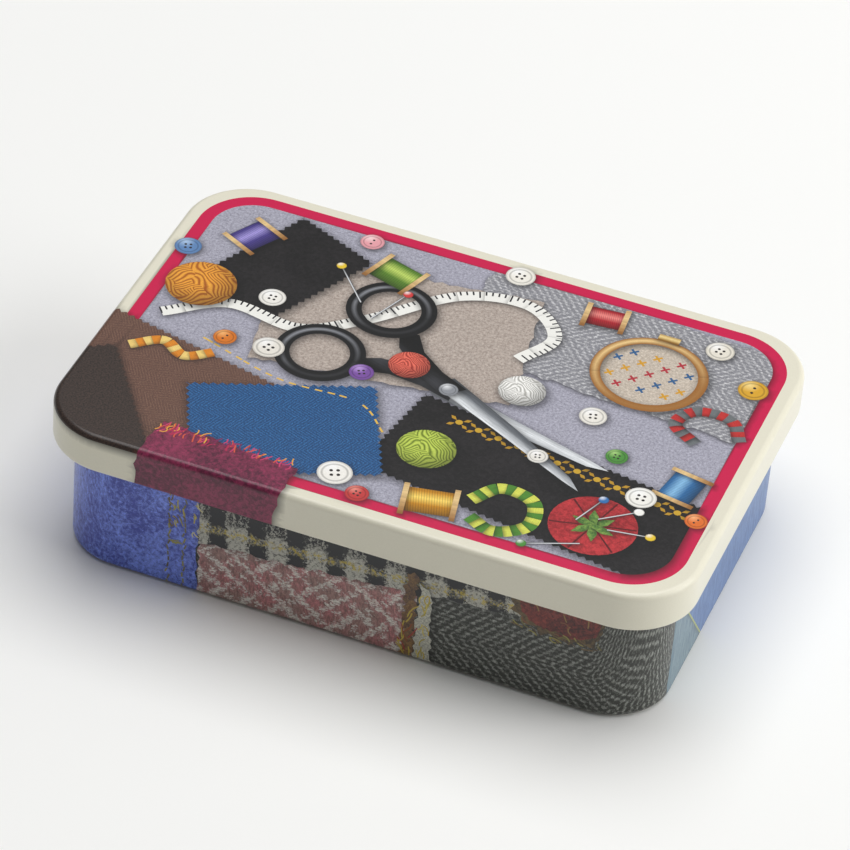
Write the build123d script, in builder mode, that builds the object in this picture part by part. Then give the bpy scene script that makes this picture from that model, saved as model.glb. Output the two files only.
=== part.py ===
from build123d import *
import math
import os

# Hinged pocket tin: a drawn tray and a drawn lid of thin tinplate.
# Millimetres. +X runs along the long side, +Y points to the hinge at the back, +Z is up.
# The origin is the centre of the footprint, on the plane that the tin stands on.

# Overall size with the lid shut
tin_length = 95.0
tin_width = 64.6
tin_height = 24.7
sheet = 0.25  # thickness of the tinplate

# Lid
lid_corner_radius = 10.0
lid_edge_radius = 0.9  # drawn edge between the flat top and the skirt
skirt_height = 6.2  # from the flat top down to the underside of the hem
hem_radius = 0.65  # outside radius of the skirt's hem, which is rolled inwards
hem_turn = 225.0  # degrees

# Tray
tray_inset = 2.6  # how far the lid overhangs the tray's wall
tray_corner_radius = 9.0
tray_edge_radius = 1.1  # drawn edge between the wall and the floor
rim_radius = 0.55  # outside radius of the wall's rim, which is rolled outwards
rim_turn = 225.0  # degrees
rim_clearance = 0.15  # between the rim and the underside of the shut lid

# Stiffening panel pressed up into the floor, which leaves a foot all round
panel_inset = 4.2  # from the wall to the start of the slope
panel_rise = 0.6
panel_slope = 45.0  # degrees

# Hinge: two tongues of the tray's back wall are rolled round the lid's hem
tongue_width = 10.0
tongue_offset = 22.0  # from the middle of the tin to the middle of a tongue
running_gap = 0.06  # radial, between the hem and the tongue rolled round it
tongue_sweep = 265.0  # degrees that the tongue goes round the hem
relief_width = 0.5  # slit beside a tongue, where the rolled rim stops
relief_depth = 1.0
window_side_gap = 0.5  # between a tongue's side and the window's
window_height = 1.7  # of the window in the lid's skirt, above the hinge's axis
window_corner_radius = 0.5

# Rounds that hardly show are drawn as flats
rim_flats = 10
inside_flats = 4

# Worked out from these
tray_length = tin_length - 2 * tray_inset
tray_width = tin_width - 2 * tray_inset
lid_back = tin_width / 2
wall_back = tray_width / 2 - sheet / 2  # middle of the back wall's thickness
hinge_y = lid_back - hem_radius
hinge_z = tin_height - skirt_height + hem_radius
rim_top = tin_height - sheet - rim_clearance
rim_centre_z = rim_top - rim_radius
tongue_radius = hem_radius + running_gap + sheet / 2  # round the hem, mid thickness
strand_y = hinge_y - tongue_radius  # straight run of the tongue, inside the skirt
bend_centre_y = (wall_back + strand_y) / 2
bend_centre_z = rim_top - sheet / 2 - (strand_y - wall_back) / 2
relief_z = rim_centre_z - relief_depth
panel_parallel_shift = sheet * math.tan(math.radians(panel_slope / 2))


def faces_at(part, height):
    """Flat, level faces of a part at one height."""
    low, high = height - sheet / 10, height + sheet / 10
    return part.faces().filter_by(Plane.XY).filter_by_position(Axis.Z, low, high)


def flat_for_round(radius):
    """Leg of a 45 degree chamfer that just touches an arc of this radius."""
    return radius * (2 - math.sqrt(2))


def roll_line(centre, radius, start, turn, flats):
    """Clockwise round of a roll: an arc, or flats between points on that arc."""
    if not flats:
        return CenterArc(centre, radius, start, -turn)
    arc = CenterArc(centre, radius, start, -turn, mode=Mode.PRIVATE)
    return Polyline(*[arc @ (i / flats) for i in range(flats + 1)])


def rolled_edge(length, width, corner_radius, inset, radius, level, start, turn, flats):
    """Roll the free edge of a wall all round.

    The wall's outside is length by width, and it stops at level. The roll's centre is
    inset from that outside. The roll has this radius outside, and turns from start.
    """
    with BuildSketch(Plane.XY.offset(level), mode=Mode.PRIVATE) as outline:
        RectangleRounded(length - 2 * inset, width - 2 * inset, corner_radius - inset)
    with BuildSketch(Plane.XZ) as section:
        with BuildLine():
            centre = (length / 2 - inset, level)
            outside = roll_line(centre, radius, start, turn, flats)
            inside = roll_line(centre, radius - sheet, start, turn, inside_flats)
            Line(outside @ 0, inside @ 0)
            Line(outside @ 1, inside @ 1)
        make_face()
    sweep(sections=section.sketch, path=outline.face().outer_wire())


# Room inside the tray and inside the lid, each with its drawn edge
with BuildPart() as tray_room:
    with BuildSketch(Plane.XY.offset(sheet)):
        RectangleRounded(
            tray_length - 2 * sheet, tray_width - 2 * sheet, tray_corner_radius - sheet
        )
    extrude(amount=tin_height)
    chamfer(faces_at(tray_room, sheet).edges(), flat_for_round(tray_edge_radius - sheet))

with BuildPart() as lid_room:
    with BuildSketch():
        RectangleRounded(
            tin_length - 2 * sheet, tin_width - 2 * sheet, lid_corner_radius - sheet
        )
    extrude(amount=tin_height - sheet)
    ceiling = faces_at(lid_room, tin_height - sheet)
    chamfer(ceiling.edges(), flat_for_round(lid_edge_radius - sheet))

# Tray: one piece, drawn, with a pressed floor and a rim rolled outwards
with BuildPart() as tin_tray:
    with BuildSketch():
        RectangleRounded(tray_length, tray_width, tray_corner_radius)
    extrude(amount=rim_centre_z)
    fillet(faces_at(tin_tray, 0).edges(), tray_edge_radius)
    add(tray_room.part, mode=Mode.SUBTRACT)

    # The panel's upper side is added and its underside cut away, one sheet apart
    panel_length = tray_length - 2 * panel_inset
    panel_width = tray_width - 2 * panel_inset
    panel_corner_radius = tray_corner_radius - panel_inset
    with BuildSketch(Plane.XY.offset(sheet)):
        RectangleRounded(
            panel_length + 2 * panel_parallel_shift,
            panel_width + 2 * panel_parallel_shift,
            panel_corner_radius + panel_parallel_shift,
        )
    extrude(amount=panel_rise, taper=90 - panel_slope)
    with BuildSketch():
        RectangleRounded(panel_length, panel_width, panel_corner_radius)
    extrude(amount=panel_rise, taper=90 - panel_slope, mode=Mode.SUBTRACT)

    rolled_edge(
        tray_length,
        tray_width,
        tray_corner_radius,
        sheet - rim_radius,
        rim_radius,
        rim_centre_z,
        180.0,
        rim_turn,
        rim_flats,
    )

    # Where a tongue leaves the wall, the rim isn't rolled and a slit frees each side
    for side in (-1, 1):
        with Locations((side * tongue_offset, wall_back, relief_z)):
            Box(
                tongue_width + 2 * relief_width,
                4 * rim_radius,
                rim_top,
                align=(Align.CENTER, Align.CENTER, Align.MIN),
                mode=Mode.SUBTRACT,
            )
        with BuildLine(Plane.YZ.offset(side * tongue_offset)) as route:
            rise = Line((wall_back, relief_z), (wall_back, bend_centre_z))
            CenterArc(
                (bend_centre_y, bend_centre_z), strand_y - bend_centre_y, 180, -180
            )
            Line((strand_y, bend_centre_z), (strand_y, hinge_z))
            CenterArc((hinge_y, hinge_z), tongue_radius, 180, tongue_sweep)
        with BuildSketch(Plane(origin=rise @ 0, x_dir=(1, 0, 0), z_dir=(0, 0, 1))) as cut:
            Rectangle(tongue_width, sheet)
        sweep(sections=cut.sketch, path=route.line)

tin_tray.part.label = "tin_tray"

# Lid: one piece, drawn, with a hem rolled inwards and two windows for the tongues
with BuildPart() as tin_lid:
    with BuildSketch(Plane.XY.offset(hinge_z)):
        RectangleRounded(tin_length, tin_width, lid_corner_radius)
    extrude(amount=tin_height - hinge_z)
    fillet(faces_at(tin_lid, tin_height).edges(), lid_edge_radius)
    add(lid_room.part, mode=Mode.SUBTRACT)
    rolled_edge(
        tin_length,
        tin_width,
        lid_corner_radius,
        hem_radius,
        hem_radius,
        hinge_z,
        0.0,
        hem_turn,
        None,
    )
    with BuildSketch(Plane.XZ.offset(-lid_back - sheet)) as windows:
        for side in (-1, 1):
            with Locations((side * tongue_offset, hinge_z)):
                Rectangle(
                    tongue_width + 2 * window_side_gap,
                    window_height,
                    align=(Align.CENTER, Align.MIN),
                )
        fillet(windows.vertices().group_by(Axis.Y)[-1], window_corner_radius)
    extrude(amount=2.2 * sheet, mode=Mode.SUBTRACT)

tin_lid.part.label = "tin_lid"

os.makedirs("parts", exist_ok=True)
export_step(tin_tray.part, "parts/tin_tray.step")
export_step(tin_lid.part, "parts/tin_lid.step")
print("hinge axis y, z:", round(hinge_y, 3), round(hinge_z, 3))
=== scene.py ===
import math
import random
from functools import partial
import bpy
import numpy as np
from mathutils import Matrix, Vector
from mathutils.geometry import delaunay_2d_cdt
from mathutils.kdtree import KDTree


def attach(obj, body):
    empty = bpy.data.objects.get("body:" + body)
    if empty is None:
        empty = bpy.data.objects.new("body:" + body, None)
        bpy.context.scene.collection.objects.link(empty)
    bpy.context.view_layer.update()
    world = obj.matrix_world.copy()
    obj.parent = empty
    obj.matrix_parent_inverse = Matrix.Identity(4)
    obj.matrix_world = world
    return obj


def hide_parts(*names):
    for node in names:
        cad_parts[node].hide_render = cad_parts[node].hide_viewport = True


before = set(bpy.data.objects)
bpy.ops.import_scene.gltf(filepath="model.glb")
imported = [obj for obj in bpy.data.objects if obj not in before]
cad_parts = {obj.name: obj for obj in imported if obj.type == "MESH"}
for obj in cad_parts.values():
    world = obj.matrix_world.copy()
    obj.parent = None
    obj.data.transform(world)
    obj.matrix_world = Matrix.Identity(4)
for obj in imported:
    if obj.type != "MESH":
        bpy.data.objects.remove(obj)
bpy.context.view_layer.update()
mm = 0.001
random.seed(11)

# Hinged sewing tin. Lid and tray are made as the real ones are: a flat sheet is printed, and
# then drawn over its profile. Sizes are millimetres, and a blank is measured from its core,
# which is the rectangle through the centres of its four corners.

tin = {
    "sheet": 0.25,
    "cornerSteps": 24,
    "ringStep": 1.5,  # along the straight sides
    "bleed": 0.5,  # the ground's ink runs this far past the blank
    "bareMargin": 0.25,  # nothing else is printed as near to the cut edge
    "tonguesAt": (-22, 22),  # their middles, and those of their windows and reliefs
}


def ink(hexColour):  # sRGB hex to linear
    parts = [int(hexColour[i:i + 2], 16) / 255 for i in (1, 3, 5)]
    linear = [p / 12.92 if p <= 0.04045 else ((p + 0.055) / 1.055) ** 2.4 for p in parts]
    return (*linear, 1.0)


def addTo(tree, kind, inputs=(), **settings):
    # one node, its settings and its links; the inputs go by name, or in the node's own order
    if not kind.startswith(("Geometry", "NodeGroup")):
        kind = "ShaderNode" + kind
    node = tree.nodes.new(kind)
    for name, value in settings.items():
        setattr(node, name, value)
    for key, value in inputs.items() if isinstance(inputs, dict) else enumerate(inputs):
        if isinstance(key, str):
            socket = next(s for s in node.inputs if s.name == key and s.enabled)
        else:
            socket = node.inputs[key]
        if isinstance(value, bpy.types.Node):
            value = next(s for s in value.outputs if s.enabled)
        if isinstance(value, bpy.types.NodeSocket):
            tree.links.new(value, socket)
        else:
            socket.default_value = value
    return node


def walkLine(start, moves):  # middle of the sheet's thickness, from the flat to the free edge
    r, z = start
    heading = 0.0
    samples = [(0.0, r, z, heading)]
    length = 0.0
    for kind, size, degrees, steps in moves:
        for _ in range(steps):
            if kind == "run":
                part = size / steps
                r += part * math.cos(heading)
                z += part * math.sin(heading)
            else:  # a bend of this radius, to the left where the angle is positive
                turn = math.radians(degrees) / steps
                part = size * abs(turn)
                chord = 2 * size * math.sin(abs(turn) / 2)
                r += chord * math.cos(heading + turn / 2)
                z += chord * math.sin(heading + turn / 2)
                heading += turn
            length += part
            samples.append((length, r, z, heading))
    return np.array(samples)


def ringPoints(core, radius, straightStep=200.0):
    # rounded rectangle, anticlockwise from the front right corner
    steps = tin["cornerSteps"]
    points = []
    turns = ((1, -1), (1, 1), (-1, 1), (-1, -1))
    for quarter, (sx, sy) in enumerate(turns):
        for i in range(steps + 1):
            angle = math.radians(-90 + 90 * (quarter + i / steps))
            x = sx * core[0] + radius * math.cos(angle)
            y = sy * core[1] + radius * math.sin(angle)
            points.append((x, y))
        tx, ty = turns[(quarter + 1) % 4]
        run = (tx - sx) * core[0], (ty - sy) * core[1]
        parts = max(1, round(math.hypot(*run) / straightStep))
        for i in range(1, parts):
            points.append((x + run[0] * i / parts, y + run[1] * i / parts))
    return points


def fromCore(points, core):  # nearest point of the core, and direction and distance from it
    points = np.asarray(points, float)
    nearest = np.clip(points, [-core[0], -core[1]], core)
    away = points - nearest
    distance = np.hypot(away[:, 0], away[:, 1])
    direction = away / np.maximum(distance, 1e-9)[:, None]
    return nearest, direction, distance


def drawOver(points, form, side):  # where points of the blank end up, and the normal there
    nearest, direction, distance = fromCore(points, form["core"])
    along = distance - form["flat"]
    length, lineR, lineZ, lineHeading = form["line"].T
    r = np.where(along < 0, distance, np.interp(along, length, lineR))
    z = np.interp(along, length, lineZ)
    heading = np.interp(along, length, lineHeading)
    normalR = -np.sin(heading) * form["printSide"]
    normalZ = np.cos(heading) * form["printSide"]
    shift = side * tin["sheet"] / 2
    place = np.zeros((len(r), 3))
    place[:, :2] = nearest + direction * (r + shift * normalR)[:, None]
    place[:, 2] = z + shift * normalZ
    normal = np.zeros((len(r), 3))
    normal[:, :2] = direction * normalR[:, None]
    normal[:, 2] = normalZ
    return place, normal * side


def stretchedPrint(points, form):
    # the print's own millimetres: a drawn corner takes less sheet than it has room for
    base = form["drawnFrom"]
    nearest, direction, distance = fromCore(points, form["core"])
    rise = np.maximum(distance - base, 0)
    drawn = np.sqrt(base ** 2 + 2 * base * rise)
    corner = 2 * np.abs(direction[:, 0] * direction[:, 1])
    radius = np.where(rise > 0, distance + (drawn - distance) * corner, distance)
    return nearest + direction * radius[:, None]


def isInside(points, outline):
    a = np.asarray(outline, float)
    b = np.roll(a, -1, axis=0)
    rise = b[:, 1] - a[:, 1]
    crosses = (a[None, :, 1] > points[:, None, 1]) != (b[None, :, 1] > points[:, None, 1])
    slope = (b[:, 0] - a[:, 0]) / np.where(rise == 0, 1e-12, rise)
    where = a[None, :, 0] + (points[:, None, 1] - a[None, :, 1]) * slope
    return (crosses & (points[:, None, 0] < where)).sum(1) % 2 == 1


def distanceTo(points, outline):  # negative inside
    a = np.asarray(outline, float)
    ab = np.roll(a, -1, axis=0) - a
    ap = points[:, None, :] - a[None]
    t = (ap * ab).sum(2) / np.maximum((ab * ab).sum(1), 1e-12)
    gap = ap - ab * np.clip(t, 0, 1)[..., None]
    distance = np.sqrt((gap * gap).sum(2)).min(1)
    return np.where(isInside(points, outline), -distance, distance)


def triangulate(rings, outlines, loose):
    # rings of the profile, their radial lines, the outlines and loose points
    points, edges = [], []
    count = len(rings[0])
    for k, ring in enumerate(rings):
        points.extend(ring)
        for i in range(count):
            edges.append((k * count + i, k * count + (i + 1) % count))
            if k + 1 < len(rings):
                edges.append((k * count + i, (k + 1) * count + i))
    for outline in outlines:
        first = len(points)
        points.extend(outline)
        edges.extend((first + i, first + (i + 1) % len(outline)) for i in range(len(outline)))
    points.extend(loose)
    result = delaunay_2d_cdt([Vector(p) for p in points], edges, [], 0, 1e-4, False)
    return np.array([tuple(v) for v in result[0]]), np.array(result[2])


def topMotifs(middles, motifs):  # which motif shows on each triangle
    tops = np.full(len(middles), -1)
    for number, item in enumerate(motifs):
        outline = np.array(item["outline"])
        boxed = (middles > outline.min(0)).all(1) & (middles < outline.max(0)).all(1)
        near = np.flatnonzero(boxed)
        if len(near):
            tops[near[isInside(middles[near], outline)]] = number
    return tops


shadow = {  # of a motif on those below it, for each unit of its lift
    "offset": (0.3, -0.35),
    "reach": 1.1,
    "atEdge": 0.75,
}


def paintedShade(points, triangles, tops, motifs):
    shade = np.zeros(triangles.shape)
    for number, item in enumerate(motifs):
        if not item["lift"]:
            continue
        outline = np.array(item["outline"]) + np.array(shadow["offset"]) * item["lift"]
        reach = shadow["reach"] * item["lift"]
        near = (points > outline.min(0) - reach).all(1) & (points < outline.max(0) + reach).all(1)
        strength = np.zeros(len(points))
        if near.any():
            gap = distanceTo(points[near], outline)
            strength[near] = np.clip(shadow["atEdge"] - gap / reach, 0, 1)
        shade = np.maximum(shade, strength[triangles] * (tops < number)[:, None])
    return shade


def freeEdges(triangles):
    used = {(tri[i], tri[(i + 1) % 3]) for tri in triangles.tolist() for i in range(3)}
    return sorted(e for e in used if (e[1], e[0]) not in used)


def cutWalls(outer, inner):  # join the two sides' free edges across the sheet's thickness
    finder = KDTree(len(inner["points"]))
    for i in sorted({i for edge in inner["free"] for i in edge}):
        finder.insert((*inner["points"][i], 0), int(i))
    finder.balance()
    walls = []
    for a, b in outer["free"]:
        below = [finder.find((*outer["points"][i], 0))[1] + inner["first"] for i in (a, b)]
        a, b = a + outer["first"], b + outer["first"]
        walls.append((b, a, below[0]))
        if below[0] != below[1]:
            walls.append((b, below[0], below[1]))
    return np.array(walls)


def drawnSheet(name, form, holes, motifs, loose):
    line = form["line"]
    rings = [ringPoints(form["core"], form["flat"] + s, tin["ringStep"]) for s in line[:, 0]]
    blank = ringPoints(form["core"], form["flat"] + line[-1, 0])
    plain, cut = (motif(finish, "#000000", motifs[0]["outline"]) for finish in ("bare", "edge"))
    places, sides, layers = [], [], []
    first = 0
    # the printed side, then the plain one
    for side, shown, extra in ((1, motifs, loose), (-1, [plain], [])):
        outlines = [*holes, *[item["outline"] for item in shown[1:]]]
        points, tris = triangulate(rings, outlines, extra)
        middles = points[tris].mean(1)
        inBlank = isInside(middles, blank)
        for hole in holes:
            inBlank &= ~isInside(middles, hole)
        tris = tris[inBlank]
        tops = topMotifs(middles[inBlank], shown)
        if side * form["printSide"] < 0:
            tris = tris[:, ::-1]
        place, normal = drawOver(points, form, side)
        number = tops if side > 0 else np.full(len(tris), len(motifs))
        layers.append((tris + first, number, normal[tris], stretchedPrint(points, form)[tris],
                       paintedShade(points, tris, tops, shown)))
        sides.append({"free": freeEdges(tris), "points": points, "first": first})
        places.append(place)
        first += len(points)

    walls = cutWalls(*sides)
    places = np.concatenate(places)
    a, b, c = np.moveaxis(places[walls], 1, 0)
    normal = np.cross(b - a, c - a)
    normal /= np.maximum(np.linalg.norm(normal, axis=1), 1e-12)[:, None]
    layers.append((walls, np.full(len(walls), len(motifs) + 1), np.repeat(normal[:, None], 3, 1),
                   np.zeros((len(walls), 3, 2)), np.zeros((len(walls), 3))))

    # each motif's material, its two colours and its own place on the print
    triangles, numbers, normals, prints, shades = (np.concatenate(v) for v in zip(*layers))
    materials = []
    slots = np.zeros(len(triangles), int)
    warps, wefts = np.zeros((2, *triangles.shape, 4))
    for number in np.unique(numbers):
        item = [*motifs, plain, cut][number]
        mine = numbers == number
        turn = math.radians(item["turn"])
        x, y = np.moveaxis(prints[mine] - np.array(item["at"]), -1, 0)
        along = x * math.cos(turn) + y * math.sin(turn)
        across = y * math.cos(turn) - x * math.sin(turn)
        prints[mine] = np.stack((along, across), -1) / item["scale"]
        warps[mine], wefts[mine] = (ink(c) for c in item["colours"])
        if item["finish"] not in materials:
            materials.append(item["finish"])
        slots[mine] = materials.index(item["finish"])

    used, corners = np.unique(triangles, return_inverse=True)
    mesh = bpy.data.meshes.new(name)
    mesh.from_pydata((places[used] * mm).tolist(), [], corners.reshape(triangles.shape).tolist())
    for material in materials:
        mesh.materials.append(material)
    mesh.polygons.foreach_set("material_index", slots)
    mesh.polygons.foreach_set("use_smooth", np.ones(len(mesh.polygons), bool))
    layer = mesh.uv_layers.new(name="print")
    layer.uv.foreach_set("vector", prints.reshape(-1))
    for title, kind, field, values in (
        ("shade", "FLOAT", "value", shades),
        ("warp", "FLOAT_COLOR", "color", warps),
        ("weft", "FLOAT_COLOR", "color", wefts),
        ("custom_normal", "FLOAT_VECTOR", "vector", normals),  # the profile's own
    ):
        attribute = mesh.attributes.new(title, kind, "CORNER")
        attribute.data.foreach_set(field, values.reshape(-1))
    piece = bpy.data.objects.new(name, mesh)
    bpy.context.collection.objects.link(piece)
    print(name, "drawn,", len(mesh.polygons), "triangles")
    return piece


# Lithographed tinplate: inks printed on the flat sheet, then a satin varnish, so the surface
# is flat and softly glossy whatever cloth it shows. A pattern gets the print's own x and y in
# millimetres and answers with a mask between its two inks, and what else it needs. On a thing
# that seems round they reach 1 at its edge.

def speckled(add, place, noise, levels):  # noise between two levels, mapped to 0 and 1 or others
    scale, detail, roughness = noise
    fine = add("TexNoise", {"Vector": place, "Scale": scale, "Detail": detail,
                            "Roughness": roughness})
    return add("MapRange", (fine, *levels))


def feltPattern(add, place, x, y):  # pressed fibres: mottles about 1 mm across, in broad clouds
    fine = add("TexNoise", {"Vector": place, "Scale": 1.4, "Detail": 4.0, "Roughness": 0.8,
                            "Distortion": 0.5})
    broad = add("TexNoise", {"Vector": place, "Scale": 0.13, "Detail": 2.0})
    both = add("Math", (broad, 0.5, fine), operation="MULTIPLY_ADD")
    return {"mask": add("MapRange", (both, 0.64, 0.88))}


def fleckPattern(add, place, x, y):  # salt and pepper tweed: 0.5 mm flecks of two yarns
    return {"mask": speckled(add, place, (2.6, 3.0, 0.8), (0.38, 0.64))}


def herringbonePattern(add, place, x, y):  # ribs of 4 mm, lines of floats 1 mm apart
    wander = add("TexNoise", {"Vector": place, "Scale": 0.8, "Detail": 3.0})
    rib = add("Math", (y, 4.0), operation="PINGPONG")
    slant = add("Math", (x, rib), operation="SUBTRACT")
    yarn = add("Math", (wander, 0.8, slant), operation="MULTIPLY_ADD")
    ridge = add("Math", (yarn, 0.5), operation="PINGPONG")
    row = add("Math", (y, 0.24), operation="PINGPONG")
    ridgeTone = add("MapRange", (ridge, 0.16, 0.44, -0.12, 0.13))
    rowTone = add("MapRange", (row, 0.02, 0.16, -0.14, 0.04))
    # the weave shifts the level above which a 0.3 mm knot of wool catches the light
    knots = add("TexNoise", {"Vector": place, "Scale": 2.7, "Detail": 3.0, "Roughness": 0.9})
    lifted = add("Math", (knots, 1.8, ridgeTone), operation="MULTIPLY_ADD")
    level = add("Math", (lifted, rowTone), operation="ADD")
    return {"mask": add("MapRange", (level, 0.8, 1.3))}


def tuggedPlace(add, place, scale, amount):  # yarns pull each other about
    tug = add("TexNoise", {"Vector": place, "Scale": scale, "Detail": 3.0, "Roughness": 0.75})
    pull = add("VectorMath", (tug.outputs["Color"], (-0.5, -0.5, -0.5)), operation="ADD")
    return add("VectorMath", (pull, amount, place), operation="MULTIPLY_ADD")


def checkPattern(add, place, x, y):  # shepherd's check: light squares every 5.9 mm, yellow rows
    bent = add("SeparateXYZ", (tuggedPlace(add, place, 1.5, (3.2, 2.6, 0.0)),))
    column = add("Math", (bent.outputs[0], 2.95), operation="PINGPONG")
    turn = add("Math", (bent.outputs[1], 3.6, -4.4), operation="WRAP")
    fromRow = add("Math", (turn,), operation="ABSOLUTE")
    columns = add("MapRange", (column, 1.75, 1.4))
    below = add("MapRange", (turn, -1.8, -1.2))
    # above a row only two or three warps of each column are light
    strand = add("Math", (bent.outputs[0], 0.48), operation="PINGPONG")
    strands = add("MapRange", (strand, 0.24, 0.34, 0.0, 0.85))
    part = add("Math", (below, strands), operation="MAXIMUM")
    squares = add("Math", (columns, part), operation="MULTIPLY")
    rows = add("MapRange", (fromRow, 0.85, 0.35, 0.0, 0.8))
    either = add("Math", (squares, rows), operation="MAXIMUM")
    # short yarns are missing, fewer where squares and rows meet
    knots = add("TexNoise", {"Vector": place, "Scale": 1.7, "Detail": 3.0, "Roughness": 0.85})
    dense = add("Math", (columns, 0.1, knots), operation="MULTIPLY_ADD")
    knotted = add("MapRange", (dense, 0.46, 0.6, 0.08))
    mask = add("Math", (either, knotted), operation="MULTIPLY")
    # the yellow overcheck comes and goes along a row
    gold = add("MapRange", (fromRow, 0.8, 0.3))
    patches = speckled(add, place, (1.3, 3.0, 0.8), (0.5, 0.56, 0.0, 0.9))
    over = add("Math", (gold, patches), operation="MULTIPLY")
    return {"mask": mask, "over": (over, "#B8A43C")}


def diamondPattern(add, place, x, y):  # figured tweed: slanting floats and stars, 4.7 by 4.2 mm
    bent = tuggedPlace(add, place, 1.0, (3.8, 3.8, 0.0))
    lattice = []
    for way in (-1, 1):  # falling lines, then rising ones
        along = add("VectorMath", (bent, (1 / 4.7, way / 4.2, 0.0)), operation="DOT_PRODUCT")
        lattice.append(add("Math", (along.outputs["Value"], 0.5), operation="PINGPONG"))
    fall, rise = lattice
    # the floats slant one way here and the other way there
    area = add("TexNoise", {"Vector": place, "Scale": 0.13, "Detail": 1.0})
    turns = add("Math", (area, 0.53), operation="GREATER_THAN")
    slant = add("Mix", {"Factor": turns, "A": rise, "B": fall})
    slashes = add("MapRange", (slant, 0.2, 0.08))
    offSlant = add("Math", (0.5, slant), operation="SUBTRACT")
    other = add("Mix", {"Factor": turns, "A": fall, "B": rise})
    reach = add("Math", (offSlant, other), operation="ADD")
    stars = add("MapRange", (reach, 0.27, 0.15))
    light = add("Math", (slashes, stars), operation="MAXIMUM")
    threads = add("Mapping", {"Vector": place, "Rotation": (0, 0, 0.6), "Scale": (0.8, 2.6, 1.0)})
    broken = speckled(add, threads, (1.5, 3.0, 0.85), (0.4, 0.54))
    mask = add("Math", (light, broken), operation="MULTIPLY")
    # upright hairs of the ground, and places where it turns redder
    hairs = add("Mapping", {"Vector": place, "Rotation": (0, 0, -0.35), "Scale": (2.6, 0.8, 1.0)})
    hairy = speckled(add, hairs, (1.0, 4.0, 0.75), (0.36, 0.62))
    blushed = speckled(add, place, (0.22, 3.0, 0.5), (0.42, 0.62))
    warp = add("Attribute", attribute_name="warp")
    wool = add("Mix", {"Factor": blushed, "A": warp, "B": ink("#C47C80")}, data_type="RGBA")
    ground = add("Mix", {"Factor": hairy, "A": ink("#745A55"), "B": wool}, data_type="RGBA")
    return {"mask": mask, "dark": ground}


def denimPattern(add, place, x, y):  # washed twill: slanting slubs 0.4 mm wide and 4 mm long
    slub = add("Mapping", {"Vector": place, "Rotation": (0, 0, 0.7), "Scale": (0.25, 2.4, 1.0)})
    return {"mask": speckled(add, slub, (1.0, 3.0, 0.7), (0.35, 0.65))}


def threadPattern(add, place, x, y):  # wound cotton, a turn every 0.35 mm on a common spool
    skew = add("Math", (y, 0.12, x), operation="MULTIPLY_ADD")
    turns = add("Math", (skew, 0.07), operation="PINGPONG")
    groove = add("MapRange", (turns, 0.0, 0.03, 0.55))
    lit = add("Math", (y, -0.25), operation="ADD")
    away = add("Math", (lit,), operation="ABSOLUTE")
    gloss = add("MapRange", (away, 0.0, 0.55, 1.0, 0.0))
    falloff = add("MapRange", (away, 0.5, 1.3, 1.0, 0.3))
    return {"mask": gloss, "tone": add("Math", (groove, falloff), operation="MULTIPLY")}


def discPattern(add, place, x, y):  # moulded button or pin head, lit from the upper left
    radius = add("VectorMath", (place,), operation="LENGTH").outputs["Value"]
    fromRim = add("Math", (radius, -0.72), operation="ADD")
    rimGap = add("Math", (fromRim,), operation="ABSOLUTE")
    groove = add("MapRange", (rimGap, 0.0, 0.1, 0.55))
    edge = add("MapRange", (radius, 0.85, 1.0, 1.0, 0.6))
    lit = add("VectorMath", (place, (-0.4, 0.45, 0)), operation="DISTANCE").outputs["Value"]
    gloss = add("MapRange", (lit, 0.05, 0.75, 0.75, 0.0))
    return {"mask": gloss, "tone": add("Math", (groove, edge), operation="MULTIPLY")}


def ballPattern(add, place, x, y):  # yarn wound in two crossing lays
    sway = add("TexNoise", {"Vector": place, "Scale": 1.6, "Detail": 0.0})
    bent = add("Math", (sway, 0.8, x), operation="MULTIPLY_ADD")
    lays = []
    for crossing in ("ADD", "SUBTRACT"):
        lay = add("Math", (bent, y), operation=crossing)
        lays.append(add("Math", (lay, 0.085), operation="PINGPONG"))
    area = add("TexNoise", {"Vector": place, "Scale": 1.1, "Detail": 0.0, "Distortion": 1.0})
    pick = add("Math", (area, 0.5), operation="GREATER_THAN")
    turns = add("Mix", {"Factor": pick, "A": lays[0], "B": lays[1]})
    lit = add("VectorMath", (place, (-0.25, 0.25, 0)), operation="DISTANCE").outputs["Value"]
    falloff = add("MapRange", (lit, 0.5, 1.3, 1.0, 0.35))
    return {"mask": add("MapRange", (turns, 0.01, 0.06)), "tone": falloff}


def rodPattern(add, place, x, y):  # anything long and round, lit along its middle
    grain = add("Mapping", {"Vector": place, "Scale": (0.6, 7.0, 1.0)})
    grainTone = speckled(add, grain, (1.0, 3.0, 0.5), (0.3, 0.7, 0.75, 1.15))
    lit = add("Math", (y, -0.3), operation="ADD")
    away = add("Math", (lit,), operation="ABSOLUTE")
    gloss = add("MapRange", (away, 0.0, 0.9, 1.0, 0.0))
    falloff = add("MapRange", (away, 0.6, 1.3, 1.0, 0.45))
    return {"mask": gloss, "tone": add("Math", (grainTone, falloff), operation="MULTIPLY")}


def ringPattern(add, place, x, y):  # turned or forged ring: the middle of its band is at 1
    radius = add("VectorMath", (place,), operation="LENGTH").outputs["Value"]
    off = add("Math", (radius, -1.0), operation="ADD")
    away = add("Math", (off,), operation="ABSOLUTE")
    crest = add("MapRange", (away, 0.0, 0.09, 1.0, 0.0))
    facing = add("VectorMath", (place, (-0.6, 0.8, 0)), operation="DOT_PRODUCT").outputs["Value"]
    lit = add("MapRange", (facing, -0.6, 1.0, 0.08))
    return {"mask": add("Math", (crest, lit), operation="MULTIPLY")}


def flatPattern(add, place, x, y):
    return {"mask": 0.0}


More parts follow.
